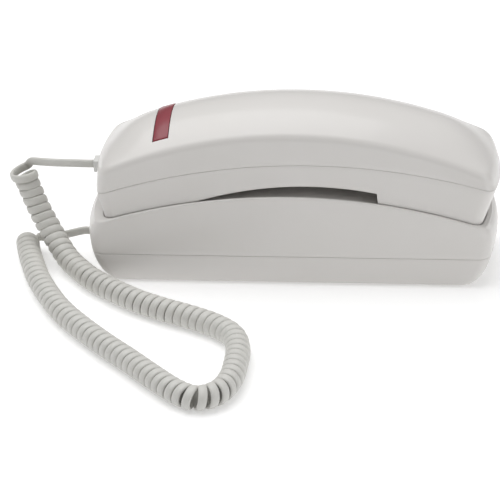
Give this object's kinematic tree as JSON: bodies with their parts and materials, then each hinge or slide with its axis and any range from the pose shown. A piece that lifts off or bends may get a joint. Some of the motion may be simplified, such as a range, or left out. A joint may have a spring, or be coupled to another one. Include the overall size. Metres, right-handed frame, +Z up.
{
  "type": "wall telephone",
  "caption": "Slimline corded telephone: an arched handset face down on a low cradle base, with a message lamp and a curly handset cord.",
  "frame": {"origin": "below the middle of the base, on the plane its four rubber feet stand on", "axes": "+Z up, +X along the phone towards the earpiece end, so the cord leaves at the -X end and lies on the -Y side"},
  "size_m": [0.2637, 0.192, 0.0971],
  "materials": {
    "shell": "satin moulded off-white plastic with a very fine texture",
    "key": "satin moulded plastic",
    "faceplate": "fine matt moulded plastic, light grey",
    "lens": "clear red plastic",
    "rubber": "matt black rubber",
    "membrane": "matt grey silicone rubber",
    "board": "glass fibre board with green lacquer",
    "steel": "zinc-plated steel",
    "brass": "plain brass",
    "black": "black moulded plastic",
    "clear": "clear modular plug",
    "cord": "soft off-white vinyl"
  },
  "bodies": {
    "base": {"base_housing": "shell", "base_plate": "shell", "foot_1": "rubber", "foot_2": "rubber", "foot_3": "rubber", "foot_4": "rubber", "base_screw_1": "steel", "base_screw_2": "steel", "base_screw_3": "steel", "base_screw_4": "steel", "hook_spring": "steel", "hook_switch_body": "black", "base_circuit_board": "board", "ringer_disc": "brass", "line_jack": "black", "base_handset_jack": "black", "cord_plug_base": "clear", "cord_tail_base": "cord", "cord_coil": "cord"},
    "handset": {"handset_back_shell": "shell", "handset_front_shell": "shell", "message_lens": "lens", "message_led": "lens", "keypad_faceplate": "faceplate", "keypad_membrane": "membrane", "handset_circuit_board": "board", "handset_ballast": "steel", "receiver_capsule": "steel", "microphone": "black", "handset_jack": "black", "handset_screw_1": "steel", "handset_screw_2": "steel", "cord_plug_handset": "clear", "cord_tail_handset": "cord"},
    "hook_plunger": {"hook_plunger": "key"},
    "ringer_volume_slider": {"ringer_volume_slider": "key"},
    "key_1": {"key_1": "key"},
    "key_2": {"key_2": "key"},
    "key_3": {"key_3": "key"},
    "key_4": {"key_4": "key"},
    "key_5": {"key_5": "key"},
    "key_6": {"key_6": "key"},
    "key_7": {"key_7": "key"},
    "key_8": {"key_8": "key"},
    "key_9": {"key_9": "key"},
    "key_star": {"key_star": "key"},
    "key_0": {"key_0": "key"},
    "key_pound": {"key_pound": "key"},
    "key_flash": {"key_flash": "key"},
    "key_redial": {"key_redial": "key"}
  },
  "joints": [
    {"name": "handset_lift", "type": "slide", "parent": "base", "child": "handset", "axis": [0, 0, 1], "range_m": [0, 0.06]},
    {"name": "hook_travel", "type": "slide", "parent": "base", "child": "hook_plunger", "axis": [0, 0, 1], "range_m": [0, 0.004], "deforming": ["hook_spring"]},
    {"name": "ringer_volume_slide", "type": "slide", "parent": "base", "child": "ringer_volume_slider", "axis": [1, 0, 0], "range_m": [-0.004, 0.004]},
    {"name": "key_1_press", "type": "slide", "parent": "handset", "child": "key_1", "axis": [0.0778, 0, 0.997], "range_m": [0, 0.0015], "stiffness_N_per_m": 400, "springref_m": -0.0004},
    {"name": "key_2_press", "type": "slide", "parent": "handset", "child": "key_2", "axis": [0.0778, 0, 0.997], "range_m": [0, 0.0015], "stiffness_N_per_m": 400, "springref_m": -0.0004},
    {"name": "key_3_press", "type": "slide", "parent": "handset", "child": "key_3", "axis": [0.0778, 0, 0.997], "range_m": [0, 0.0015], "stiffness_N_per_m": 400, "springref_m": -0.0004},
    {"name": "key_4_press", "type": "slide", "parent": "handset", "child": "key_4", "axis": [0.0028, 0, 1], "range_m": [0, 0.0015], "stiffness_N_per_m": 400, "springref_m": -0.0004},
    {"name": "key_5_press", "type": "slide", "parent": "handset", "child": "key_5", "axis": [0.0028, 0, 1], "range_m": [0, 0.0015], "stiffness_N_per_m": 400, "springref_m": -0.0004},
    {"name": "key_6_press", "type": "slide", "parent": "handset", "child": "key_6", "axis": [0.0028, 0, 1], "range_m": [0, 0.0015], "stiffness_N_per_m": 400, "springref_m": -0.0004},
    {"name": "key_7_press", "type": "slide", "parent": "handset", "child": "key_7", "axis": [-0.0722, 0, 0.9974], "range_m": [0, 0.0015], "stiffness_N_per_m": 400, "springref_m": -0.0004},
    {"name": "key_8_press", "type": "slide", "parent": "handset", "child": "key_8", "axis": [-0.0722, 0, 0.9974], "range_m": [0, 0.0015], "stiffness_N_per_m": 400, "springref_m": -0.0004},
    {"name": "key_9_press", "type": "slide", "parent": "handset", "child": "key_9", "axis": [-0.0722, 0, 0.9974], "range_m": [0, 0.0015], "stiffness_N_per_m": 400, "springref_m": -0.0004},
    {"name": "key_star_press", "type": "slide", "parent": "handset", "child": "key_star", "axis": [-0.1472, 0, 0.9891], "range_m": [0, 0.0015], "stiffness_N_per_m": 400, "springref_m": -0.0004},
    {"name": "key_0_press", "type": "slide", "parent": "handset", "child": "key_0", "axis": [-0.1472, 0, 0.9891], "range_m": [0, 0.0015], "stiffness_N_per_m": 400, "springref_m": -0.0004},
    {"name": "key_pound_press", "type": "slide", "parent": "handset", "child": "key_pound", "axis": [-0.1472, 0, 0.9891], "range_m": [0, 0.0015], "stiffness_N_per_m": 400, "springref_m": -0.0004},
    {"name": "key_flash_press", "type": "slide", "parent": "handset", "child": "key_flash", "axis": [-0.2222, 0, 0.975], "range_m": [0, 0.0015], "stiffness_N_per_m": 400, "springref_m": -0.0004},
    {"name": "key_redial_press", "type": "slide", "parent": "handset", "child": "key_redial", "axis": [-0.2222, 0, 0.975], "range_m": [0, 0.0015], "stiffness_N_per_m": 400, "springref_m": -0.0004}
  ],
  "couplings": [
    {"joint": "hook_travel", "follows": "handset_lift", "ratio": 0.066667}
  ]
}
